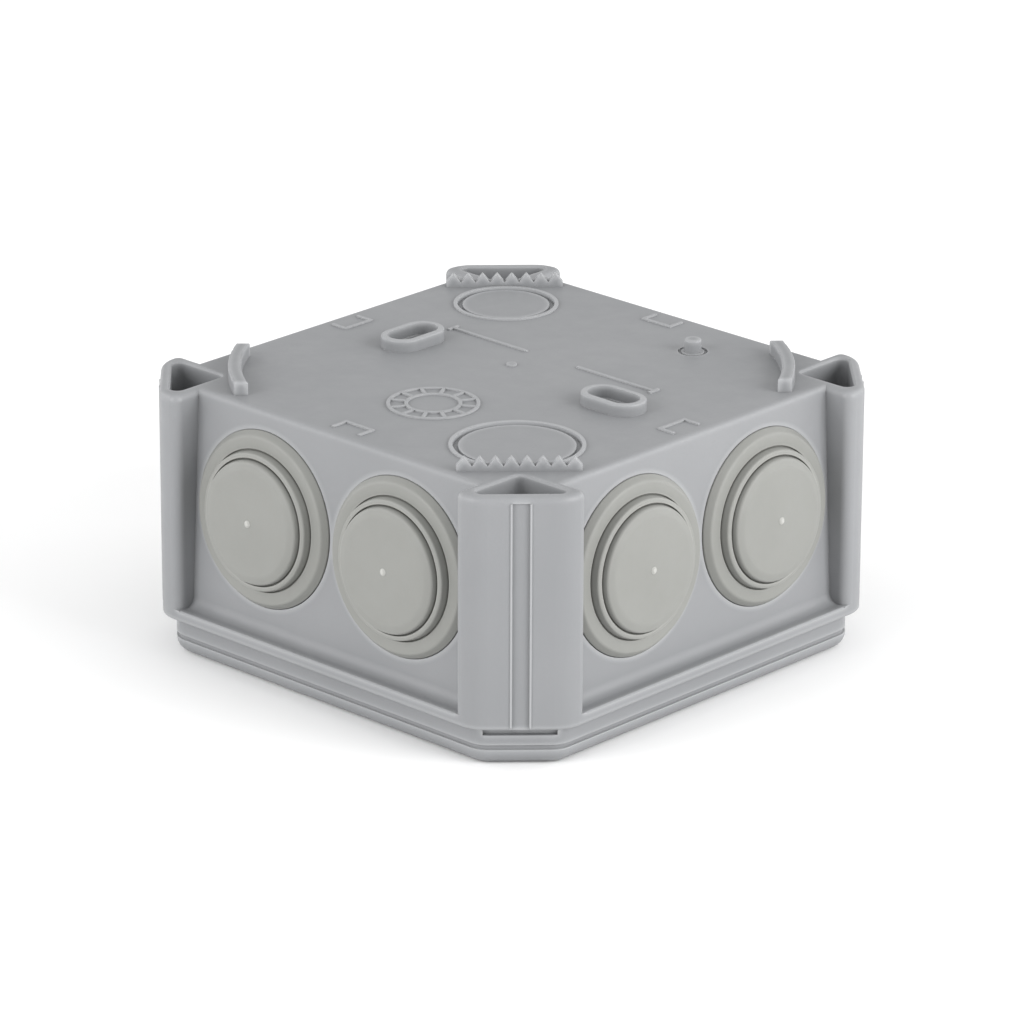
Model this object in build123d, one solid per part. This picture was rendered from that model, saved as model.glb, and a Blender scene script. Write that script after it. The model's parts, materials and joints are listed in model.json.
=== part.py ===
from build123d import *
import os
from math import atan, cos, degrees, radians, sin, sqrt, tan

# A square surface-mount junction box for electrical cables, lying on its lid with its back up.
# +Z runs from the lid's face to the back panel, and the walls face along X and Y. Millimetres.

# ---- overall ----
envelope = 114.0            # across the flange and the corner posts
box_depth = 57.0            # lid face to back panel
lid_height = 8.2            # lid face to the lid's rim
seam = 0.3                  # gap between the lid's rim and the flange
fit_gap = 0.1               # between pieces that are pushed together by hand
turn_gap = 0.06             # around a shank that turns in its bore
sunk = 0.5                  # how far an added shape reaches into the one that carries it
overrun = 1.0               # how far a cut runs past the faces that it opens

# ---- base: flange, walls and corner posts ----
flange_height = 2.4
flange_ledge = 4.1          # flange's edge to the foot of a wall
wall_lean = 2.4             # how far a wall leans in up to the back panel
wall = 2.2
panel = 2.5
foot_radius = 2.3
edge_radius = 1.1
small_radius = 0.4          # along the flange, the lid's rim and other small edges
web = 2.4                   # wall between the inside and a post's pocket
post_width = 18.3           # along a side, from the envelope's corner
post_cut = 13.4             # cut off a post's corner, along a side
post_plate = 2.2
post_radius = 7.0           # where a post's corner face turns into its sides
flank_radius = 1.9          # upright edge between a post's side and its flank
post_bottom_radius = 0.6
post_top_radius = 1.4
pocket_radius = 1.5
sight_groove_width = 3.4
sight_groove_depth = 0.35
sight_line = 0.4            # width of the raised line on each side of the groove
sight_line_height = 0.2
mouth_gap = 0.4             # gasket's inside to the opening of the base

# ---- cable entries ----
entry_radius = 12.75        # clearance hole for an M25 gland
entry_bridge = 1.0          # wall left between the two seats
entry_rise = 0.6            # entries' centres over the middle of the wall
seat_depth = 1.0
seat_gap = 0.3
seal_disc_inset = 0.15      # seal's disc inside the hole's outline
seal_ring_width = 1.7       # step outside the disc
seal_flange_width = 3.9     # flange outside the ring
seal_flange_rise = 1.6      # seal flange face above the wall
seal_ring_rise = 3.2
seal_disc_rise = 4.3
seal_crown = 0.5
seal_nipple_radius = 0.9
seal_nipple_height = 0.35
seal_neck_wall = 1.7
seal_skin = 1.1
seal_lip = 1.2              # how far the inner lip reaches past the hole
seal_lip_length = 1.8
seal_round = 1.1

# ---- back panel ----
standoff = 2.8              # ribs above the back panel
rib_thickness = 1.6
rib_inset = 2.2             # a pocket's inner corner to the middle of a toothed rib
tooth_count = 8
tooth_pitch = 3.07
tooth_depth = 1.8
arc_rib_inset = 2.1
arc_rib_radius = 48.0
arc_rib_length = 24.0
arc_rib_thickness = 2.7
slot_spacing = 56.0
slot_length = 11.1
slot_width = 5.2
boss_length = 14.8
boss_width = 8.9
boss_wall = 1.3
boss_height = 2.5
big_knockout_radius = 12.75
big_knockout_diagonal = 42.0
small_knockout_radius = 10.2
small_knockout_diagonal = 44.0
knockout_groove = 1.1
knockout_groove_depth = 0.7
knockout_rim = 0.8
knockout_web = 0.8          # thin wall left under the groove, which breaks
mark_height = 0.35
mark_line = 0.7
dimension_line_place = 12.0 # past the middle of the panel
dimension_tick = 3.0
pin_place = (17.0, 36.0)
pin_radius = 1.75
pin_height = 2.7
pin_ring_radius = 3.05
gate_place = (-3.7, 3.9)
gate_radius = 1.1
stamp_place = (1.2, -24.0)
stamp_radius = 9.4
stamp_inner_radius = 5.8
stamp_ticks = 12
bracket_place = 43.4        # centre of the panel to the small corner marks
bracket_length = 8.0
bracket_width = 4.2

# ---- lid ----
lid_inset = 2.9             # flange's edge to the lid's side
lid_cut = 11.5              # cut off each corner of the lid, along a side
lid_corner_radius = 5.0
lid_plate = 2.2
lid_skirt = 2.0
lid_round = 3.0
side_groove_height = 3.8
side_groove_width = 1.0
side_groove_depth = 0.45
pry_width = 14.6            # step under each post where a blade is pushed in
pry_height = 1.8
pry_depth = 1.0
gasket_width = 2.2
gasket_height = 3.0
gasket_inset = 1.9          # outside of the wall's foot to the outside of the gasket
gasket_offset = 0.3         # outside of the gasket past a post's flank, round a corner
gasket_top_gap = 0.05
gasket_stand = 0.7          # how far the gasket stands out of its bed
bed_rib = 1.2               # wall on each side of the gasket's bed

# ---- quarter-turn locks ----
lock_inset = 12.9           # flange's edge to a lock's axis, along X and along Y
lock_head_radius = 3.3
lock_head_top = 3.2
lock_head_recess = 0.5
lock_head_edge = 0.4
lock_seat_gap = 0.02        # head to the lid above it
keyhole_gap = 0.3           # around the lock as it passes through the flange
lock_shank_radius = 1.9
lock_collar_step = 0.35     # collar that keeps the lock in its bore, past the shank
lock_collar_height = 0.75
lock_collar_gap = 0.1       # collar to the lid's well below it
lock_lobe_reach = 4.4
lock_lobe_radius = 1.3
lock_lobe_height = 2.2
lock_lift = 0.4             # lobe above the flange
lock_slot_width = 1.3
lock_slot_depth = 1.1
lock_slot_end = 0.8         # head's edge to the end of its slot
well_wall = 1.25
ring_section = 0.47         # radius of the rubber ring's own section
ring_rise = 1.6             # head's top to the ring's groove

# ---- terminal strip ----
pole_count = 5
pole_pitch = 9.0
strip_width = 17.0
strip_height = 15.0
strip_lug = 7.0
strip_lug_width = 10.2
strip_lug_height = 4.0
strip_lift = 4.0            # back panel's inside to the strip
strip_roof = 2.0            # strip's top to its channels
clamp_length = 14.0
clamp_width = 6.0
clamp_height = 7.0
clamp_bore = 1.9
clamp_bore_rise = 0.8       # bore above the middle of the clamp
terminal_screw_inset = 3.4  # clamp's end to a screw's axis
terminal_screw_radius = 1.4
terminal_screw_reach = 0.6  # screw's tip into the bore
terminal_head_radius = 1.9
terminal_head_height = 1.6
terminal_head_gap = 0.3
terminal_slot_width = 0.6
terminal_slot_depth = 0.7
mount_screw_radius = 1.5
mount_head_radius = 2.8
mount_head_height = 1.8
mount_head_edge = 0.4
mount_cross_width = 0.9
mount_cross_length = 3.4
mount_cross_depth = 1.0
mount_screw_grip = 3.0      # thread inside the pillar
strip_boss_radius = 3.4

# ---- worked out from the sizes above ----
half = envelope / 2
wall_foot = half - flange_ledge
wall_top = wall_foot - wall_lean
flank = half - post_width
post_diagonal = (envelope - post_cut) / sqrt(2)
lid_half = half - lid_inset
lid_diagonal = (2 * lid_half - lid_cut) / sqrt(2)
lock_place = half - lock_inset
lock_collar_radius = lock_shank_radius + lock_collar_step
gasket_notch = flank + gasket_offset
pocket = flank + web
rib_diagonal = pocket * sqrt(2) - rib_inset
arc_rib_diagonal = pocket * sqrt(2) - arc_rib_inset
seal_disc_radius = entry_radius - seal_disc_inset
seal_ring_radius = seal_disc_radius + seal_ring_width
seal_flange_radius = seal_ring_radius + seal_flange_width
entry_offset = seal_flange_radius + seat_gap + entry_bridge / 2
flange_bottom = lid_height + seam
flange_top = flange_bottom + flange_height
wall_height = box_depth - flange_top
entry_height = (flange_top + box_depth) / 2 + entry_rise
draft = degrees(atan((wall_foot - wall_top) / wall_height))
inside_top = box_depth - panel
gasket_top = flange_bottom - gasket_top_gap
lock_collar_bottom = gasket_top - lock_collar_height
slot_place = slot_spacing / 2
strip_top = inside_top - strip_lift
strip_length = pole_count * pole_pitch + 2 * strip_lug
lug_place = strip_length / 2 - strip_lug / 2
clamp_centre = strip_top - strip_roof - clamp_height / 2

CORNERS = ("front_right", "back_right", "back_left", "front_left")
WALLS = ("right", "back", "left", "front")


def wall_at(z):
    """Centre to the outside of a wall at height z."""
    return wall_foot - (z - flange_top) * tan(radians(draft))


def prism(face, bottom, top):
    return Pos(0, 0, bottom) * extrude(face, top - bottom)


def turned(shape, quarter):
    return Rot(0, 0, 90 * quarter) * shape


def chamfered_square(side, diagonal, radius=0.0):
    """Square of half side, with corners cut square to the diagonals at that distance."""
    cut = diagonal * sqrt(2) - side
    first = [(side, -cut), (side, cut), (cut, side), (-cut, side)]
    points = first + [(-x, -y) for x, y in first]
    face = make_face(Polyline(*points, close=True))
    return fillet(face.vertices(), radius) if radius else face


def notched_square(side, notch):
    """Square of half side, with a square missing at each corner from notch outwards."""
    return Rectangle(2 * side, 2 * notch) + Rectangle(2 * notch, 2 * side)


def corner_reach(point):
    """How far out a point lies along the front right diagonal."""
    return (point.X - point.Y) / sqrt(2)


def post_outline():
    """Plan of the front right post: two flanks, two rounded sides and a diagonal corner face."""
    cut = post_diagonal * sqrt(2) - half
    points = [(flank, -flank), (half, -flank), (half, -cut), (cut, -half), (flank, -half)]
    face = make_face(Polyline(*points, close=True))
    side_reach = (half + flank) / sqrt(2)
    side_edges = face.vertices().filter_by(lambda v: abs(corner_reach(v) - side_reach) < small_radius)
    face = fillet(side_edges, flank_radius)
    face_edges = face.vertices().filter_by(lambda v: corner_reach(v) > post_diagonal - small_radius)
    return fillet(face_edges, post_radius)


def pocket_outline():
    """Plan of the three-sided pocket behind a post's corner face."""
    far = (post_diagonal - post_plate) * sqrt(2) - pocket
    face = make_face(Polyline((pocket, -pocket), (far, -pocket), (pocket, -far), close=True))
    return fillet(face.vertices(), pocket_radius)


def on_diagonal(shape, angle):
    """Moves a shape drawn along +X on to the diagonal at that angle."""
    return Rot(0, 0, angle) * shape


def entry_plane(side):
    """Plane on the right wall's outside at an entry, with Z outwards."""
    height = entry_height
    normal = (cos(radians(draft)), 0, sin(radians(draft)))
    return Plane(origin=(wall_at(height), side * entry_offset, height), x_dir=(0, 1, 0), z_dir=normal)


# ---- base ----
def post():
    """One corner post above the flange, its top edge rounded all round."""
    body = prism(post_outline(), flange_top, box_depth)
    inner_edge = flank * sqrt(2) + overrun
    top_edges = body.faces().sort_by(Axis.Z)[-1].edges()
    return fillet(top_edges.filter_by(lambda e: corner_reach(e.center()) > inner_edge), post_top_radius)


def flange():
    """Plate round the foot of the walls, as wide as the posts, with its long upper edges broken."""
    plate = prism(chamfered_square(half, post_diagonal, post_radius), flange_bottom, flange_top)
    plate = fillet(plate.faces().sort_by(Axis.Z)[0].edges(), post_bottom_radius)
    broken = Pos(half, 0, flange_top) * Rot(0, 45, 0) * Box(small_radius, 2 * flank, small_radius)
    for quarter in range(4):
        plate = plate - turned(broken, quarter)
    return plate


def sight_marks():
    """Raised lines on both sides of the shallow upright groove in a post's corner face."""
    low = flange_bottom + post_bottom_radius
    high = box_depth - post_top_radius
    place = sight_groove_width / 2 + sight_line / 2
    line = Pos(post_diagonal, 0, (low + high) / 2) * Box(2 * sight_line_height, sight_line, high - low)
    return on_diagonal(Pos(0, place, 0) * line + Pos(0, -place, 0) * line, -45)


def sight_groove():
    top = box_depth - post_top_radius
    cutter = Pos(post_diagonal, 0, top / 2) * Box(2 * sight_groove_depth, sight_groove_width, top)
    return on_diagonal(cutter, -45)


def keyhole():
    """Way through the flange for a lock's shank and its lobe, as it points when released."""
    reach = lock_lobe_reach - lock_lobe_radius
    end = Circle(lock_lobe_radius + keyhole_gap)
    way = Pos(0, -reach / 2) * Rectangle(2 * (lock_lobe_radius + keyhole_gap), reach) + Pos(0, -reach) * end
    face = Pos(lock_place, -lock_place) * (Circle(lock_collar_radius + keyhole_gap) + way)
    return prism(face, flange_bottom - overrun, flange_top + overrun)


def toothed_rib():
    """Straight rib across the diagonal, its top cut into pointed teeth."""
    side = tooth_count * tooth_pitch / 2
    tip = box_depth + standoff
    root = tip - tooth_depth
    points = [(-side, box_depth - sunk), (side, box_depth - sunk), (side, root)]
    for i in range(tooth_count):
        right = side - i * tooth_pitch
        points.append((right - tooth_pitch / 2, tip))
        points.append((right - tooth_pitch, root))
    face = Plane.YZ * make_face(Polyline(*points, close=True))
    return Pos(rib_diagonal - rib_thickness / 2, 0, 0) * extrude(face, rib_thickness)


def arc_rib():
    """Plain rib across the diagonal, curved like part of a ring."""
    band = Circle(arc_rib_radius + arc_rib_thickness / 2) - Circle(arc_rib_radius - arc_rib_thickness / 2)
    window = Pos(arc_rib_radius, 0) * Rectangle(arc_rib_radius, arc_rib_length)
    rib = prism(band & window, box_depth - sunk, box_depth + standoff)
    rib = fillet(rib.faces().sort_by(Axis.Z)[-1].edges(), small_radius)
    return Pos(arc_rib_diagonal - arc_rib_radius, 0, 0) * rib


def slot_boss():
    """Oval collar that stands round a fixing slot on the back panel."""
    top = box_depth + boss_height
    collar = prism(SlotOverall(boss_length, boss_width), box_depth - sunk, top)
    collar = fillet(collar.faces().sort_by(Axis.Z)[-1].edges(), small_radius)
    inner = SlotOverall(boss_length - 2 * boss_wall, boss_width - 2 * boss_wall)
    return collar - prism(inner, box_depth, top + overrun)


def knockout_cut(radius, diagonal, angle):
    """Round groove in the back panel and the hollow behind it, with a thin wall between the two."""
    ring = Circle(radius) - Circle(radius - knockout_groove)
    groove_floor = box_depth - knockout_groove_depth
    groove = prism(ring, groove_floor, box_depth + overrun)
    hollow = prism(Circle(radius), inside_top - overrun, groove_floor - knockout_web)
    return on_diagonal(Pos(diagonal, 0, 0) * (groove + hollow), angle)


def knockout_rim_ring(radius, diagonal, angle):
    ring = Circle(radius + knockout_rim) - Circle(radius)
    return on_diagonal(Pos(diagonal, 0, 0) * prism(ring, box_depth - sunk, box_depth + mark_height), angle)


def mark(face):
    """A low raised mark on the back panel."""
    return prism(face, box_depth - sunk, box_depth + mark_height)


def dimension_line():
    """Line with a tick over each fixing slot, broken in the middle."""
    gap = slot_place / 4
    half_line = Rectangle(slot_place - gap, mark_line)
    tick = Rectangle(mark_line, dimension_tick)
    face = Pos((slot_place + gap) / 2, 0) * half_line + Pos(slot_place, 0) * tick
    face = face + Pos(-(slot_place + gap) / 2, 0) * half_line + Pos(-slot_place, 0) * tick
    return mark(Pos(0, dimension_line_place) * face)


def stamp():
    """Two rings joined by short spokes, like the dial of a date stamp."""
    face = Circle(stamp_radius) - Circle(stamp_radius - mark_line)
    face = face + (Circle(stamp_inner_radius) - Circle(stamp_inner_radius - mark_line))
    middle = (stamp_radius + stamp_inner_radius - mark_line) / 2
    spoke = Pos(middle, 0) * Rectangle(stamp_radius - stamp_inner_radius, mark_line)
    for i in range(stamp_ticks):
        face = face + Rot(0, 0, i * 360 / stamp_ticks) * spoke
    return mark(Pos(*stamp_place) * face)


def bracket():
    """Three-sided frame at the edge of the panel, open outwards."""
    outside = Rectangle(bracket_width, bracket_length)
    inside = Pos(mark_line, 0) * Rectangle(bracket_width, bracket_length - 2 * mark_line)
    return mark(Pos(bracket_place + bracket_width / 2, 0) * (outside - inside))


def panel_pin():
    pin = prism(Circle(pin_radius), box_depth - sunk, box_depth + pin_height)
    pin = fillet(pin.faces().sort_by(Axis.Z)[-1].edges(), small_radius)
    return Pos(*pin_place) * pin


def strip_bosses():
    """Two pillars inside the back panel that carry the terminal strip."""
    pillar = prism(Circle(strip_boss_radius), strip_top, inside_top + sunk)
    hole = prism(Circle(mount_screw_radius), strip_top - overrun, strip_top + mount_screw_grip + sunk)
    return Pos(0, lug_place, 0) * (pillar - hole) + Pos(0, -lug_place, 0) * (pillar - hole)


def long_edges(shape, height, nearest, farthest):
    """Long edges along X or Y at a height, whose distance from the middle is between two sizes."""
    level = shape.edges().filter_by(lambda e: abs(e.center().Z - height) < fit_gap and e.length > half)
    return level.filter_by(lambda e: nearest < max(abs(e.center().X), abs(e.center().Y)) < farthest)


def base_inside():
    """The hollow of the base: the room between the walls and its narrower mouth at the flange."""
    side = wall_foot - wall
    depth = inside_top - flange_top
    room = Pos(0, 0, flange_top) * extrude(Rectangle(2 * side, 2 * side), depth, taper=draft)
    room = room & prism(notched_square(half, flank), 0, box_depth)
    rim = gasket_width + mouth_gap
    mouth = notched_square(wall_foot - gasket_inset - rim, gasket_notch - rim)
    return room + prism(mouth, 0, flange_top + overrun)


def entry_cuts():
    """Round seats and holes of the right wall's two cable entries."""
    seat = Pos(0, 0, -seat_depth) * extrude(Circle(seal_flange_radius + seat_gap), 3 * seat_depth)
    hole = Pos(0, 0, -2 * wall) * extrude(Circle(entry_radius), 4 * wall)
    return [entry_plane(side) * shape for side in (-1, 1) for shape in (seat, hole)]


def base():
    walls = Pos(0, 0, flange_top) * extrude(Rectangle(2 * wall_foot, 2 * wall_foot), wall_height, taper=draft)
    walls = walls & prism(chamfered_square(half, post_diagonal - post_plate), 0, box_depth)
    shell = flange() + walls
    corner_post = post()
    for quarter in range(4):
        shell = shell + turned(corner_post, quarter)
    shell = fillet(long_edges(shell, box_depth, wall_top - fit_gap, half), edge_radius)
    shell = fillet(long_edges(shell, flange_top, 0, wall_foot + fit_gap), foot_radius)
    shell = shell - base_inside() + strip_bosses()
    pocket_cut = prism(pocket_outline(), flange_top, box_depth + overrun)
    mouth = Pos(0, 0, box_depth - small_radius) * extrude(pocket_outline(), 2 * small_radius, taper=-45)
    cuts = [pocket_cut + mouth, keyhole(), sight_groove()] + entry_cuts()
    for quarter in range(4):
        for cut in cuts:
            shell = shell - turned(cut, quarter)
        shell = shell + turned(sight_marks(), quarter) + turned(bracket(), quarter)
    for angle in (-45, 135):
        shell = shell + on_diagonal(toothed_rib(), angle)
        shell = shell + on_diagonal(arc_rib(), angle + 90)
    slot = prism(SlotOverall(slot_length, slot_width), inside_top - overrun, box_depth + overrun)
    for place in (Pos(slot_place, 0, 0), Pos(-slot_place, 0, 0) * Rot(0, 0, 90)):
        shell = shell + place * slot_boss() - place * slot
    for knockout in ((big_knockout_radius, big_knockout_diagonal, -45),
                     (small_knockout_radius, small_knockout_diagonal, 135)):
        shell = shell - knockout_cut(*knockout) + knockout_rim_ring(*knockout)
    pin_ring = Circle(pin_ring_radius) - Circle(pin_ring_radius - mark_line)
    shell = shell - Pos(*pin_place) * prism(pin_ring, box_depth - mark_height, box_depth + overrun)
    return shell + panel_pin() + mark(Pos(*gate_place) * Circle(gate_radius)) + dimension_line() + stamp()


# ---- seals ----
def entry_seal():
    """Plug-in seal: flange on the wall, stepped disc over the hole, snap lip behind the wall."""
    neck = entry_radius - fit_gap
    lip = entry_radius + seal_lip
    hollow = neck - seal_neck_wall
    crown = seal_disc_rise + seal_crown
    nipple = crown + seal_nipple_height
    back = -wall - seal_lip_length
    bend_start = (seal_flange_radius - seal_round, seal_flange_rise)
    bend_end = (seal_flange_radius, seal_flange_rise - seal_round)
    top = Polyline((0, nipple), (seal_nipple_radius, nipple), (seal_nipple_radius, crown),
                   (seal_disc_radius, seal_disc_rise), (seal_disc_radius, seal_ring_rise),
                   (seal_ring_radius, seal_ring_rise), (seal_ring_radius, seal_flange_rise), bend_start)
    bend = RadiusArc(bend_start, bend_end, seal_round)
    under = Polyline(bend_end, (seal_flange_radius, -seat_depth), (neck, -seat_depth), (neck, -wall),
                     (lip, -wall), (neck, back), (hollow, back), (hollow, seal_ring_rise - seal_skin),
                     (0, crown - seal_skin), (0, nipple))
    return revolve(Plane.XZ * make_face(top + bend + under), Axis.Z)


# ---- lid ----
def lock_well():
    """What stands round each lock in the lid: a well for its head and a collar for its shank."""
    well = prism(Circle(lock_head_radius + fit_gap + well_wall), sunk, lock_head_top + well_wall)
    collar = prism(Circle(lock_shank_radius + well_wall), sunk, lock_collar_bottom - lock_collar_gap)
    return well + collar


def lid():
    outline = chamfered_square(lid_half, lid_diagonal, lid_corner_radius)
    outside = prism(outline, 0, lid_height)
    body = fillet(outside.faces().sort_by(Axis.Z)[0].edges(), lid_round)
    body = fillet(body.faces().sort_by(Axis.Z)[-1].edges(), small_radius)
    tray_side = lid_half - lid_skirt
    tray = chamfered_square(tray_side, lid_diagonal - lid_skirt, lid_corner_radius - lid_skirt)
    body = body - prism(tray, lid_plate, lid_height + overrun)
    side = wall_foot - gasket_inset
    inner_side = side - gasket_width
    inner_notch = gasket_notch - gasket_width
    bed = notched_square(tray_side + fit_gap, gasket_notch + bed_rib)
    bed = bed - notched_square(inner_side - bed_rib, inner_notch - bed_rib)
    body = body + prism(bed, lid_plate - sunk, gasket_top - gasket_stand)
    bore = prism(Circle(lock_shank_radius + turn_gap), -overrun, lid_height + overrun)
    head_bore = prism(Circle(lock_head_radius + fit_gap), -overrun, lock_head_top + lock_seat_gap)
    places = [turned(Pos(lock_place, -lock_place, 0), quarter) for quarter in range(4)]
    for place in places:
        body = body + (place * lock_well() & outside)
    channel = notched_square(side + fit_gap, gasket_notch + fit_gap)
    channel = channel - notched_square(inner_side - fit_gap, inner_notch - fit_gap)
    body = body - prism(channel, gasket_top - gasket_height, lid_height + overrun)
    for place in places:
        body = body - place * (bore + head_bore)
    pry_step = Pos(lid_diagonal, 0, lid_height) * Box(2 * pry_depth, pry_width, 2 * pry_height)
    for quarter in range(4):
        body = body - on_diagonal(pry_step, 90 * quarter - 45)
    deep = side_groove_depth
    band = chamfered_square(half, post_diagonal)
    band = band - chamfered_square(lid_half - deep, lid_diagonal - deep, lid_corner_radius - deep)
    low = side_groove_height - side_groove_width / 2
    return body - prism(band, low, low + side_groove_width)


def lid_gasket():
    side = wall_foot - gasket_inset
    hole = notched_square(side - gasket_width, gasket_notch - gasket_width)
    ring = notched_square(side, gasket_notch) - hole
    return prism(ring, gasket_top - gasket_height, gasket_top)


# ---- locks ----
def lock():
    """Quarter-turn fastener: slotted head in the lid, shank through it, lobe inside the post."""
    head = prism(Circle(lock_head_radius), lock_head_recess, lock_head_top)
    head = chamfer(head.faces().sort_by(Axis.Z)[0].edges(), lock_head_edge)
    lobe_bottom = flange_top + lock_lift
    lobe_top = lobe_bottom + lock_lobe_height
    shank = prism(Circle(lock_shank_radius), lock_head_top - sunk, lobe_top)
    collar = prism(Circle(lock_collar_radius), lock_collar_bottom, gasket_top)
    reach = lock_lobe_reach - lock_lobe_radius
    arm = Pos(0, -reach / 2) * Rectangle(2 * lock_lobe_radius, reach)
    lobe = prism(arm + Pos(0, -reach) * Circle(lock_lobe_radius), lobe_bottom, lobe_top)
    groove = Circle(lock_collar_radius) - Circle(lock_shank_radius - 2 * ring_section)
    ring_bottom = lock_head_top + ring_rise
    slot = Box(lock_slot_width, 2 * (lock_head_radius - lock_slot_end), 2 * lock_slot_depth)
    body = head + shank + collar + lobe - prism(groove, ring_bottom, ring_bottom + 2 * ring_section)
    return body - Pos(0, 0, lock_head_recess) * slot


def lock_seal_ring():
    place = lock_head_top + ring_rise + ring_section
    return Pos(0, 0, place) * Torus(lock_shank_radius - ring_section, ring_section)


# ---- terminal strip ----
def pole_places():
    first = -(pole_count - 1) * pole_pitch / 2
    return [first + i * pole_pitch for i in range(pole_count)]


def screw_places():
    across = clamp_length / 2 - terminal_screw_inset
    return [(side * across, y) for y in pole_places() for side in (-1, 1)]


def terminal_strip():
    """Insulating body of the strip, open from side to side at each pole."""
    low = strip_top - strip_height
    body = prism(Rectangle(strip_width, pole_count * pole_pitch), low, strip_top)
    body = body + prism(Rectangle(strip_lug_width, strip_length), strip_top - strip_lug_height, strip_top)
    channel = Box(strip_width + overrun, clamp_width + 2 * fit_gap, clamp_height + 2 * fit_gap)
    for y in pole_places():
        body = body - Pos(0, y, clamp_centre) * channel
    access = prism(Circle(terminal_head_radius + terminal_head_gap), low - overrun, clamp_centre)
    for x, y in screw_places():
        body = body - Pos(x, y, 0) * access
    lug_hole = prism(Circle(mount_screw_radius + fit_gap), low, strip_top + overrun)
    return body - Pos(0, lug_place, 0) * lug_hole - Pos(0, -lug_place, 0) * lug_hole


def terminal_clamps():
    """One metal clamp per pole, bored along X for the wires and from the lid side for screws."""
    bore = Rot(0, 90, 0) * Cylinder(clamp_bore, clamp_length + overrun)
    clamp = Box(clamp_length, clamp_width, clamp_height) - Pos(0, 0, clamp_bore_rise) * bore
    across = clamp_length / 2 - terminal_screw_inset
    for side in (-1, 1):
        bore = Cylinder(terminal_screw_radius, clamp_height)
        clamp = clamp - Pos(side * across, 0, -clamp_height / 2) * bore
    return Compound([Pos(0, y, clamp_centre + fit_gap) * clamp for y in pole_places()])


def terminal_screws():
    bottom = clamp_centre + fit_gap - clamp_height / 2
    tip = clamp_centre + fit_gap + clamp_bore_rise - clamp_bore + terminal_screw_reach
    shank = prism(Circle(terminal_screw_radius), bottom - sunk, tip)
    head = prism(Circle(terminal_head_radius), bottom - terminal_head_height, bottom)
    slot = Box(terminal_slot_width, 3 * terminal_head_radius, 2 * terminal_slot_depth)
    screw = head + shank - Pos(0, 0, bottom - terminal_head_height) * slot
    return Compound([Pos(x, y, 0) * screw for x, y in screw_places()])


def strip_screws():
    under = strip_top - strip_lug_height
    head = prism(Circle(mount_head_radius), under - mount_head_height, under)
    head = chamfer(head.faces().sort_by(Axis.Z)[0].edges(), mount_head_edge)
    shank = prism(Circle(mount_screw_radius), under - sunk, strip_top + mount_screw_grip)
    bar = Box(mount_cross_width, mount_cross_length, 2 * mount_cross_depth)
    screw = head + shank - Pos(0, 0, under - mount_head_height) * (bar + Rot(0, 0, 90) * bar)
    return Compound([Pos(0, side * lug_place, 0) * screw for side in (-1, 1)])


# ---- write the pieces ----
os.makedirs("parts", exist_ok=True)
pieces = {
    "lid": lid(),
    "lid_gasket": lid_gasket(),
    "base": base(),
    "terminal_strip": terminal_strip(),
    "terminal_clamps": terminal_clamps(),
    "terminal_screws": terminal_screws(),
    "strip_screws": strip_screws(),
}
for quarter, corner in enumerate(CORNERS):
    place = turned(Pos(lock_place, -lock_place, 0), quarter)
    pieces["lock_" + corner] = place * lock()
    pieces["lock_ring_" + corner] = place * lock_seal_ring()
for quarter, wall_name in enumerate(WALLS):
    for number, side in (("1", -1), ("2", 1)):
        pieces["entry_seal_" + wall_name + "_" + number] = turned(entry_plane(side) * entry_seal(), quarter)
for name, shape in pieces.items():
    export_step(shape, "parts/" + name + ".step")
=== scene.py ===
import json
from math import cos, pi, radians, sin, tan

import bmesh
import bpy
from mathutils import Matrix, Vector


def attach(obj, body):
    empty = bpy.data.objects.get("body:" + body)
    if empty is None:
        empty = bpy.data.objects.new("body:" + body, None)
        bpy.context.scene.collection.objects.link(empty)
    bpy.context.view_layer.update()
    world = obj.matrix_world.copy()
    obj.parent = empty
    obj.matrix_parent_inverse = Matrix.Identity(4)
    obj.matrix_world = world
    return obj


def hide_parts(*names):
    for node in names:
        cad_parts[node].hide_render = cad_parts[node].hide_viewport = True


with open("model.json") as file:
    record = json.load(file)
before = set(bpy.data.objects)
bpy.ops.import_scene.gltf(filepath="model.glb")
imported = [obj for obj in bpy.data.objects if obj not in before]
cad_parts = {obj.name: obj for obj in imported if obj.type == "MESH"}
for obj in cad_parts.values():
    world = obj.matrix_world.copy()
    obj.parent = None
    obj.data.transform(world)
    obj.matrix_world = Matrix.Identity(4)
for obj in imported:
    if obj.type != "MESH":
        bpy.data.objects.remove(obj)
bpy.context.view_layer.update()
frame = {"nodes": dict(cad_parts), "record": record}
nodes = frame["nodes"]
mm = 0.001

# ---- Base ----
# The body of the box: back panel, four leaning walls, a flange and four corner posts, injection moulded in
# one piece from light grey plastic. The mould's fine satin texture shows, with faint flow marks in the
# colour. It stands on the lid and carries the seals and the terminal strip.

box_grey = (0.239, 0.243, 0.251, 1)
box_grey_dark = (0.222, 0.227, 0.235, 1)
# The next colour pales outer edges: a painted highlight.
box_grey_edge_highlight = (0.352, 0.358, 0.367, 1)
# The next colour darkens corners and grooves: dust and painted shade.
box_grit_and_shade = (0.150, 0.152, 0.156, 1)
shading_samples = 6


def new_material(name):
    """An empty node material with its shader, and a coordinate node in the object's own metres."""
    material = bpy.data.materials.new(name)
    material.use_nodes = True
    tree = material.node_tree
    shader = tree.nodes["Principled BSDF"]
    place = tree.nodes.new("ShaderNodeTexCoord").outputs["Object"]
    return material, tree, shader, place


def noise(tree, place, scale, detail=3.0, roughness=0.5):
    node = tree.nodes.new("ShaderNodeTexNoise")
    node.inputs["Scale"].default_value = scale
    node.inputs["Detail"].default_value = detail
    node.inputs["Roughness"].default_value = roughness
    tree.links.new(place, node.inputs["Vector"])
    return node.outputs["Fac"]


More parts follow.
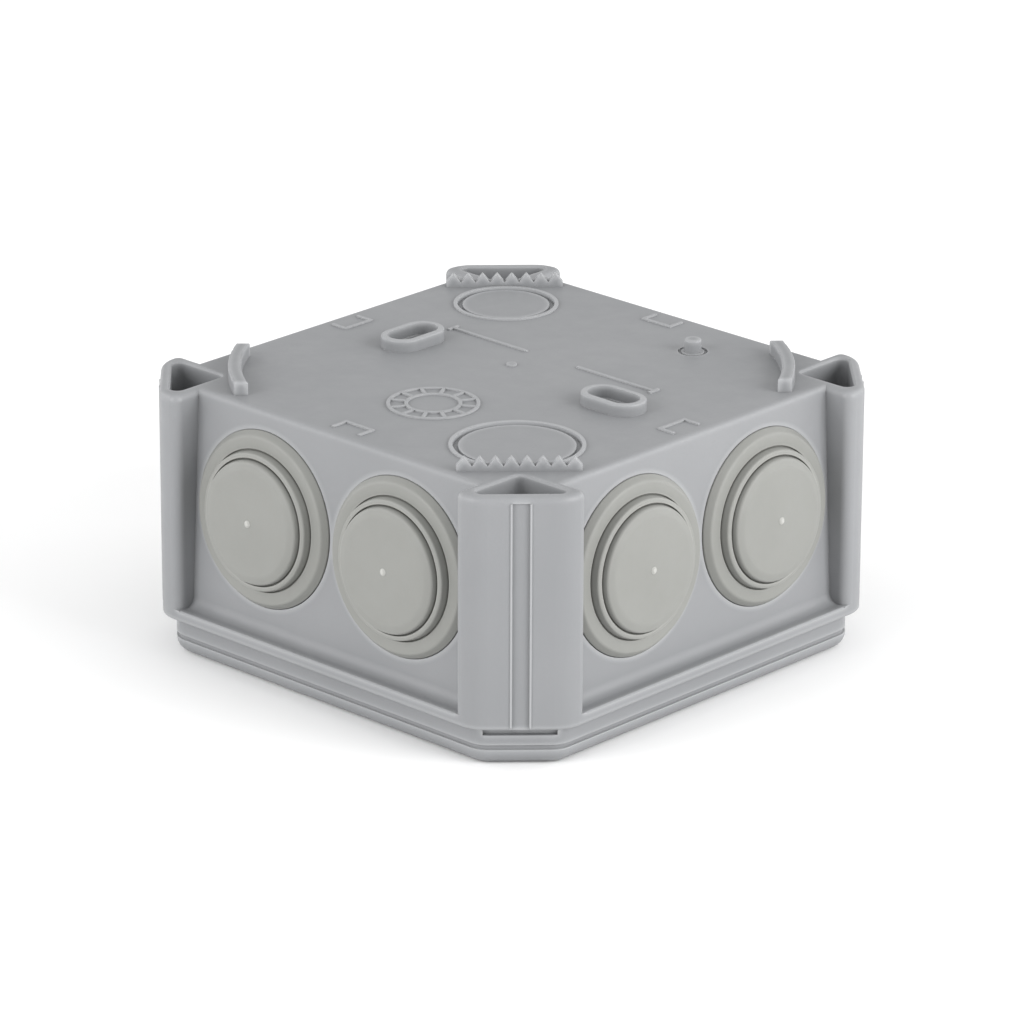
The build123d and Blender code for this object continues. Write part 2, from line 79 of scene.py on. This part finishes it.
def remap(tree, value, low, high, to_low, to_high):
    node = tree.nodes.new("ShaderNodeMapRange")
    node.inputs["From Min"].default_value = low
    node.inputs["From Max"].default_value = high
    node.inputs["To Min"].default_value = to_low
    node.inputs["To Max"].default_value = to_high
    tree.links.new(value, node.inputs["Value"])
    return node.outputs["Result"]


def blend_colour(tree, factor, first, second, mode="MIX"):
    """Mixes two colours, each either a fixed colour or a socket."""
    node = tree.nodes.new("ShaderNodeMix")
    node.data_type = "RGBA"
    node.blend_type = mode
    for socket, colour in ((node.inputs[6], first), (node.inputs[7], second)):
        if isinstance(colour, tuple):
            socket.default_value = colour
        else:
            tree.links.new(colour, socket)
    if isinstance(factor, float):
        node.inputs[0].default_value = factor
    else:
        tree.links.new(factor, node.inputs[0])
    return node.outputs[2]


def crevice_dust_and_shade(tree, reach):
    """0 in the open and up to 1 deep in corners and grooves, where dust settles and shade is painted in."""
    node = tree.nodes.new("ShaderNodeAmbientOcclusion")
    node.inputs["Distance"].default_value = reach
    node.samples = shading_samples
    return remap(tree, node.outputs["AO"], 0.3, 0.8, 1.0, 0.0)


def painted_edge_highlight(tree, reach):
    """0 on a broad face and up to 1 along outer edges and thin raised lines, which are painted paler as a
    highlight.
    """
    node = tree.nodes.new("ShaderNodeAmbientOcclusion")
    node.inside = True
    node.inputs["Distance"].default_value = reach
    node.samples = shading_samples
    return remap(tree, node.outputs["AO"], 0.5, 0.95, 1.0, 0.0)


def grain_bump(tree, shader, place, scale, depth, edge):
    """Fine grain from the mould, with every sharp edge shaded as if broken by a small radius."""
    soft_edge = tree.nodes.new("ShaderNodeBevel")
    soft_edge.samples = shading_samples
    soft_edge.inputs["Radius"].default_value = edge
    bump = tree.nodes.new("ShaderNodeBump")
    bump.inputs["Strength"].default_value = 0.6
    bump.inputs["Distance"].default_value = depth
    tree.links.new(noise(tree, place, scale, detail=4.0, roughness=0.6), bump.inputs["Height"])
    tree.links.new(soft_edge.outputs["Normal"], bump.inputs["Normal"])
    tree.links.new(bump.outputs["Normal"], shader.inputs["Normal"])


def moulded_plastic(name, light, dark, edge_highlight, grit_and_shade, rough, edge=0.25 * mm, grain=2600.0, depth=0.02 * mm):
    """Satin moulded plastic: slow flow clouds, fine speckle, painted highlight on edges, dust and painted
    shade in grooves, uneven gloss.
    """
    material, tree, shader, place = new_material(name)
    clouds = remap(tree, noise(tree, place, scale=28.0, detail=4.0), 0.35, 0.65, 0.0, 1.0)
    colour = blend_colour(tree, clouds, light, dark)
    speckle = remap(tree, noise(tree, place, scale=1900.0, detail=2.0), 0.45, 0.75, 0.0, 0.35)
    colour = blend_colour(tree, speckle, colour, dark)
    # Painted highlight: outer edges and thin raised lines paled towards the edge colour.
    colour = blend_colour(tree, painted_edge_highlight(tree, reach=1.3 * mm), colour, edge_highlight)
    # Dust and painted shade: corners, grooves and recesses darkened towards the grit colour.
    dust_and_shade = remap(tree, crevice_dust_and_shade(tree, reach=0.9 * mm), 0.0, 1.0, 0.0, 0.6)
    colour = blend_colour(tree, dust_and_shade, colour, grit_and_shade)
    tree.links.new(colour, shader.inputs["Base Color"])
    unevenness = noise(tree, place, scale=160.0, detail=5.0, roughness=0.6)
    gloss = remap(tree, unevenness, 0.3, 0.7, rough - 0.06, rough + 0.07)
    tree.links.new(gloss, shader.inputs["Roughness"])
    grain_bump(tree, shader, place, grain, depth, edge)
    return material


def dress(name, material):
    """Gives a carried-over CAD node its material."""
    slots = nodes[name].data.materials
    slots.clear()
    slots.append(material)


box_plastic = moulded_plastic("light_grey_box_plastic", box_grey, box_grey_dark, box_grey_edge_highlight, box_grit_and_shade,
                              rough=0.46)
dress("base", box_plastic)

# ---- Cable seals ----
# Eight soft plug-in seals, two on each wall, moulded from a warmer grey rubber-like plastic. Each is round:
# a flange on the wall, a ring and a slightly domed disc with thin grooves between them, the torn gate of the
# mould in the middle, painted pale as a highlight, and behind it a neck through the wall and a snap lip. They
# are pushed in by hand.

seal_grey = (0.234, 0.236, 0.222, 1)
seal_grey_dark = (0.219, 0.221, 0.207, 1)
# The next colour pales outer edges: a painted highlight.
seal_grey_edge_highlight = (0.370, 0.370, 0.350, 1)
# The next colour darkens corners and grooves: dust and painted shade.
seal_grit_and_shade = (0.085, 0.085, 0.076, 1)
# The gate's colours are painted pale and stand in for its highlight.
gate_painted_highlight = (0.42, 0.42, 0.40, 1)
gate_painted_highlight_dark = (0.34, 0.34, 0.32, 1)
gate_painted_highlight_edge = (0.5, 0.5, 0.48, 1)
gate_highlight_reach = 0.7 * mm
seat_depth = 1.0 * mm
seal_sides = 128
seal_profile = [
    # radius and height above the wall in mm, and the radius of the round at that corner
    (0.0, 5.22, 0), (0.4, 5.22, 0.2), (0.8, 4.82, 0.2), (11.0, 4.72, 3.0), (12.7, 4.2, 0.7),
    (12.9, 2.75, 0.08), (13.1, 2.75, 0.08), (13.2, 3.25, 0.15), (14.2, 3.15, 0.5), (14.45, 1.25, 0.08),
    (14.65, 1.25, 0.08), (14.75, 1.6, 0.15), (17.3, 1.56, 0.9), (18.4, 0.3, 0.5), (18.4, -1.0, 0.2),
    (12.65, -1.0, 0.1), (12.65, -2.2, 0.1), (13.95, -2.2, 0.3), (12.65, -4.0, 0.3), (10.95, -4.0, 0.3),
    (10.95, 2.0, 0.6), (8.0, 3.0, 1.0), (0.0, 3.65, 0),
]
round_steps = 5
straight = radians(179)
longest_share = 0.48
axis_width = 1e-6


def rounded(points, steps):
    """Points of a profile with each corner replaced by an arc of its own radius."""
    result = [Vector(points[0][:2])]
    for before, corner, after in zip(points, points[1:], points[2:]):
        middle = Vector(corner[:2])
        inward = (Vector(before[:2]) - middle).normalized()
        outward = (Vector(after[:2]) - middle).normalized()
        opening = inward.angle(outward)
        if corner[2] == 0 or opening > straight:
            result.append(middle)
            continue
        radius = corner[2]
        reach = radius / tan(opening / 2)
        sides = (Vector(before[:2]) - middle).length, (Vector(after[:2]) - middle).length
        longest = longest_share * min(sides)
        if reach > longest:
            radius *= longest / reach
            reach = longest
        centre = middle + (inward + outward).normalized() * (radius / sin(opening / 2))
        start = middle + inward * reach - centre
        finish = middle + outward * reach - centre
        sweep = start.angle(finish)
        turn = 1 if start.cross(finish) > 0 else -1
        for i in range(steps + 1):
            angle = turn * sweep * i / steps
            result.append(centre + Vector((start.x * cos(angle) - start.y * sin(angle),
                                           start.x * sin(angle) + start.y * cos(angle))))
    result.append(Vector(points[-1][:2]))
    return result


def turned_piece(name, profile, sides, place):
    """A closed solid of revolution about place's Z axis; the profile is (radius, height) in mm."""
    mesh = bpy.data.meshes.new(name)
    build = bmesh.new()
    rings = []
    for point in profile:
        if point.x < axis_width:
            rings.append([build.verts.new(place @ Vector((0, 0, point.y * mm)))])
            continue
        ring = []
        for i in range(sides):
            angle = 2 * pi * i / sides
            spot = Vector((point.x * cos(angle), point.x * sin(angle), point.y)) * mm
            ring.append(build.verts.new(place @ spot))
        rings.append(ring)
    for low, high in zip(rings, rings[1:]):
        for i in range(sides):
            j = (i + 1) % sides
            if len(low) == 1:
                build.faces.new((low[0], high[j], high[i]))
            elif len(high) == 1:
                build.faces.new((low[i], low[j], high[0]))
            else:
                build.faces.new((low[i], low[j], high[j], high[i]))
    bmesh.ops.recalc_face_normals(build, faces=build.faces)
    build.to_mesh(mesh)
    build.free()
    for face in mesh.polygons:
        face.use_smooth = True
    piece = bpy.data.objects.new(name, mesh)
    bpy.context.scene.collection.objects.link(piece)
    return piece


def soft_rubber(name, light, dark, edge_highlight, grit_and_shade, rough, grain=1500.0):
    """Matt rubber-like plastic: a cloudy bloom, fine speckle, painted highlight on edges, dust and painted
    shade on steps, soft sheen.
    """
    material, tree, shader, place = new_material(name)
    bloom = remap(tree, noise(tree, place, scale=60.0, detail=5.0, roughness=0.55), 0.3, 0.7, 0.0, 1.0)
    colour = blend_colour(tree, bloom, light, dark)
    speckle = remap(tree, noise(tree, place, scale=2400.0, detail=2.0), 0.5, 0.8, 0.0, 0.4)
    colour = blend_colour(tree, speckle, colour, dark)
    # Painted highlight: outer edges and thin raised lines paled towards the edge colour.
    colour = blend_colour(tree, painted_edge_highlight(tree, reach=0.6 * mm), colour, edge_highlight)
    # Dust and painted shade: steps, grooves and corners darkened towards the grit colour.
    colour = blend_colour(tree, crevice_dust_and_shade(tree, reach=0.7 * mm), colour, grit_and_shade)
    tree.links.new(colour, shader.inputs["Base Color"])
    unevenness = noise(tree, place, scale=220.0, detail=4.0)
    gloss = remap(tree, unevenness, 0.3, 0.7, rough - 0.05, rough + 0.08)
    tree.links.new(gloss, shader.inputs["Roughness"])
    shader.inputs["Sheen Weight"].default_value = 0.06
    shader.inputs["Sheen Roughness"].default_value = 0.5
    grain_bump(tree, shader, place, grain, depth=0.025 * mm, edge=0.1 * mm)
    return material


seal_rubber = soft_rubber("warm_grey_seal_rubber", seal_grey, seal_grey_dark, seal_grey_edge_highlight, seal_grit_and_shade,
                          rough=0.55)
gate_highlight_rubber = soft_rubber("torn_gate_painted_highlight", gate_painted_highlight, gate_painted_highlight_dark, gate_painted_highlight_edge, seal_grit_and_shade, rough=0.45)
seal_outline = rounded(seal_profile, round_steps)
mounts = {mount["name"]: mount for mount in frame["record"]["mounts"]}
for wall in ("right", "back", "left", "front"):
    for number in ("1", "2"):
        entry = mounts["cable_entry_" + wall + "_" + number]
        outward = Vector(entry["axis"])
        centre = Vector(entry["pos_m"]) + outward * seat_depth
        place = Matrix.Translation(centre) @ outward.to_track_quat("Z", "Y").to_matrix().to_4x4()
        seal = turned_piece("cable_seal_" + wall + "_" + number, seal_outline, seal_sides, place)
        seal.data.materials.append(seal_rubber)
        seal.data.materials.append(gate_highlight_rubber)
        # The gate nipple's faces take the pale material: a painted highlight.
        for face in seal.data.polygons:
            spot = face.center - centre
            if spot.cross(outward).length < gate_highlight_reach and spot.dot(outward) > 0:
                face.material_index = 1
        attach(seal, "base")
        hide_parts("entry_seal_" + wall + "_" + number)

# ---- Lid ----
# The shallow cover that the box lies on, moulded from the same grey plastic as the base; its colour is
# painted a little darker as shade.
# It carries the gasket in a channel inside its rim and the four locks in its corners.

# The lid's greys: the base's grey painted a little darker as shade.
lid_grey_shaded = (0.235, 0.240, 0.248, 1)
lid_grey_shaded_dark = (0.218, 0.223, 0.231, 1)
lid_plastic = moulded_plastic("light_grey_lid_plastic", lid_grey_shaded, lid_grey_shaded_dark, box_grey_edge_highlight, box_grit_and_shade,
                              rough=0.44)
dress("lid", lid_plastic)

# ---- Gasket and lock rings ----
# A dark strip of foamed rubber, pressed into the lid's channel so that the base's flange closes on it. Each
# lock's shank carries one small moulded ring of black rubber, stretched over it into a groove.

foam_black = (0.045, 0.045, 0.046, 1)
foam_black_dark = (0.028, 0.028, 0.029, 1)
# The next colour pales outer edges: a painted highlight.
foam_black_edge_highlight = (0.07, 0.07, 0.07, 1)
# The next colour darkens corners and grooves: dust and painted shade.
foam_dust_and_shade = (0.09, 0.088, 0.084, 1)
gasket_foam = soft_rubber("dark_gasket_foam", foam_black, foam_black_dark, foam_black_edge_highlight, foam_dust_and_shade,
                          rough=0.72, grain=900.0)
dress("lid_gasket", gasket_foam)

ring_black = (0.022, 0.022, 0.022, 1)
ring_black_dark = (0.012, 0.012, 0.012, 1)
# The next colour pales outer edges: a painted highlight.
ring_black_edge_highlight = (0.03, 0.03, 0.03, 1)
# The next colour darkens corners and grooves: dust and painted shade.
ring_dust_and_shade = (0.06, 0.058, 0.055, 1)
ring_rubber = soft_rubber("black_ring_rubber", ring_black, ring_black_dark, ring_black_edge_highlight, ring_dust_and_shade,
                          rough=0.4)

# ---- Quarter-turn locks ----
# Four slotted fasteners moulded from a stiffer, darker grey plastic, one in each corner of the lid. A quarter
# turn carries the lobe at the far end over the base's flange.

lock_grey = (0.165, 0.168, 0.172, 1)
lock_grey_dark = (0.13, 0.132, 0.136, 1)
# The next colour pales outer edges: a painted highlight.
lock_grey_edge_highlight = (0.22, 0.224, 0.23, 1)
# The next colour darkens corners and grooves: dust and painted shade.
lock_grit_and_shade = (0.06, 0.06, 0.06, 1)
lock_plastic = moulded_plastic("mid_grey_lock_plastic", lock_grey, lock_grey_dark, lock_grey_edge_highlight, lock_grit_and_shade,
                               rough=0.4, edge=0.15 * mm)
for corner in ("front_right", "back_right", "back_left", "front_left"):
    dress("lock_" + corner, lock_plastic)
    dress("lock_ring_" + corner, ring_rubber)

# ---- Terminal strip ----
# An off-white insulating body on two pillars of the back panel. It holds five machined brass clamps, and two
# zinc-plated screws in each clamp grip the wires; two longer screws hold the strip itself.

strip_white = (0.62, 0.60, 0.54, 1)
strip_white_dark = (0.55, 0.53, 0.47, 1)
# The next colour pales outer edges: a painted highlight.
strip_white_edge_highlight = (0.68, 0.66, 0.61, 1)
# The next colour darkens corners and grooves: dust and painted shade.
strip_grit_and_shade = (0.30, 0.28, 0.24, 1)
strip_plastic = moulded_plastic("off_white_strip_plastic", strip_white, strip_white_dark, strip_white_edge_highlight,
                                strip_grit_and_shade, rough=0.38, edge=0.15 * mm)
dress("terminal_strip", strip_plastic)

brass = (0.78, 0.58, 0.27, 1)
brass_dark = (0.66, 0.47, 0.20, 1)
brass_stain = (0.32, 0.20, 0.09, 1)
zinc = (0.66, 0.67, 0.66, 1)
zinc_dark = (0.52, 0.53, 0.52, 1)
zinc_stain = (0.33, 0.31, 0.25, 1)
tool_line_scale = 700.0
tool_line_stretch = (1.0, 14.0, 14.0)


def turned_metal(name, light, dark, stain, rough, edge):
    """Machined or plated metal: fine tool lines, darker stains, rubbed and uneven gloss."""
    material, tree, shader, place = new_material(name)
    shader.inputs["Metallic"].default_value = 1.0
    stretch = tree.nodes.new("ShaderNodeMapping")
    stretch.inputs["Scale"].default_value = tool_line_stretch
    tree.links.new(place, stretch.inputs["Vector"])
    lines = noise(tree, stretch.outputs["Vector"], tool_line_scale, detail=3.0)
    colour = blend_colour(tree, remap(tree, lines, 0.35, 0.65, 0.0, 1.0), light, dark)
    spots = remap(tree, noise(tree, place, scale=300.0, detail=5.0, roughness=0.65), 0.55, 0.8, 0.0, 0.6)
    colour = blend_colour(tree, spots, colour, stain)
    tree.links.new(colour, shader.inputs["Base Color"])
    unevenness = noise(tree, place, scale=420.0, detail=4.0)
    gloss = remap(tree, unevenness, 0.3, 0.7, rough - 0.08, rough + 0.12)
    tree.links.new(gloss, shader.inputs["Roughness"])
    grain_bump(tree, shader, stretch.outputs["Vector"], tool_line_scale, 0.01 * mm, edge)
    return material


machined_brass = turned_metal("machined_brass", brass, brass_dark, brass_stain, rough=0.3, edge=0.1 * mm)
dress("terminal_clamps", machined_brass)
zinc_steel = turned_metal("zinc_plated_steel", zinc, zinc_dark, zinc_stain, rough=0.32, edge=0.08 * mm)
dress("terminal_screws", zinc_steel)
dress("strip_screws", zinc_steel)

# ---- Floor, light and camera ----
# A plain pale floor that the lid lies on, and a white room with four broad soft lights round the box.
# The camera looks down on the front right corner from a long way off, as in a catalogue.

floor_reach = 3.0
floor_level = -0.1 * mm
floor_white = (0.93, 0.93, 0.93, 1)
floor_white_dark = (0.91, 0.91, 0.91, 1)
floor_mesh = bpy.data.meshes.new("floor")
floor_corners = [(x * floor_reach, y * floor_reach, 0) for x, y in ((-1, -1), (1, -1), (1, 1), (-1, 1))]
floor_mesh.from_pydata(floor_corners, [], [(0, 1, 2, 3)])
floor = bpy.data.objects.new("floor", floor_mesh)
floor.location.z = floor_level
bpy.context.scene.collection.objects.link(floor)
floor_material, floor_tree, floor_shader, floor_place = new_material("white_floor")
floor_tone = remap(floor_tree, noise(floor_tree, floor_place, scale=6.0), 0.3, 0.7, 0.0, 1.0)
floor_colour = blend_colour(floor_tree, floor_tone, floor_white, floor_white_dark)
floor_tree.links.new(floor_colour, floor_shader.inputs["Base Color"])
floor_shader.inputs["Roughness"].default_value = 0.9
floor_mesh.materials.append(floor_material)


def facing(direction_from, target):
    """Rotation of a light or camera at direction_from that looks at target."""
    return (target - direction_from).to_track_quat("-Z", "Y")


def view_direction(azimuth, elevation):
    """Unit vector from the object to a viewer; azimuth 0 is on -Y and 90 is on +X."""
    around, above = radians(azimuth), radians(elevation)
    return Vector((sin(around) * cos(above), -cos(around) * cos(above), sin(above)))


box_middle = Vector((0, 0, 28 * mm))
softbox_size = 0.7
room_brightness = 0.75


def soft_light(name, azimuth, elevation, distance, power):
    data = bpy.data.lights.new(name, "AREA")
    data.shape = "SQUARE"
    data.size = softbox_size
    data.energy = power
    light = bpy.data.objects.new(name, data)
    light.location = box_middle + view_direction(azimuth, elevation) * distance
    light.rotation_mode = "QUATERNION"
    light.rotation_quaternion = facing(light.location, box_middle)
    bpy.context.scene.collection.objects.link(light)


soft_light("left_softbox", azimuth=-12, elevation=22, distance=1.2, power=8.1)
soft_light("right_softbox", azimuth=102, elevation=22, distance=1.2, power=11.8)
soft_light("back_right_softbox", azimuth=158, elevation=18, distance=1.3, power=4.0)
soft_light("back_left_softbox", azimuth=290, elevation=18, distance=1.3, power=4.0)

world = bpy.data.worlds.new("white_room")
bpy.context.scene.world = world
world.use_nodes = True
world.node_tree.nodes["Background"].inputs["Color"].default_value = (1, 1, 1, 1)
world.node_tree.nodes["Background"].inputs["Strength"].default_value = room_brightness

camera_azimuth = 43.382
camera_elevation = 20.721
camera_roll = 0.219
camera_distance = 1.238
camera_lens = 213.13
camera_sensor = 36
camera_near = 0.01
camera_aim = (-0.185 * mm, 0.851 * mm)

camera_data = bpy.data.cameras.new("camera")
camera_data.sensor_width = camera_sensor
camera_data.lens = camera_lens
camera_data.clip_start = camera_near
camera = bpy.data.objects.new("camera", camera_data)
bpy.context.scene.collection.objects.link(camera)
back = view_direction(camera_azimuth, camera_elevation)
across = Vector((cos(radians(camera_azimuth)), sin(radians(camera_azimuth)), 0))
upward = back.cross(across)
roll = radians(camera_roll)
right = across * cos(roll) + upward * sin(roll)
up = upward * cos(roll) - across * sin(roll)
camera.location = box_middle + back * camera_distance - right * camera_aim[0] - up * camera_aim[1]
turn = Matrix((right, up, back)).transposed()
camera.rotation_mode = "QUATERNION"
camera.rotation_quaternion = turn.to_quaternion()
bpy.context.scene.camera = camera
bpy.context.scene.view_settings.view_transform = "Standard"
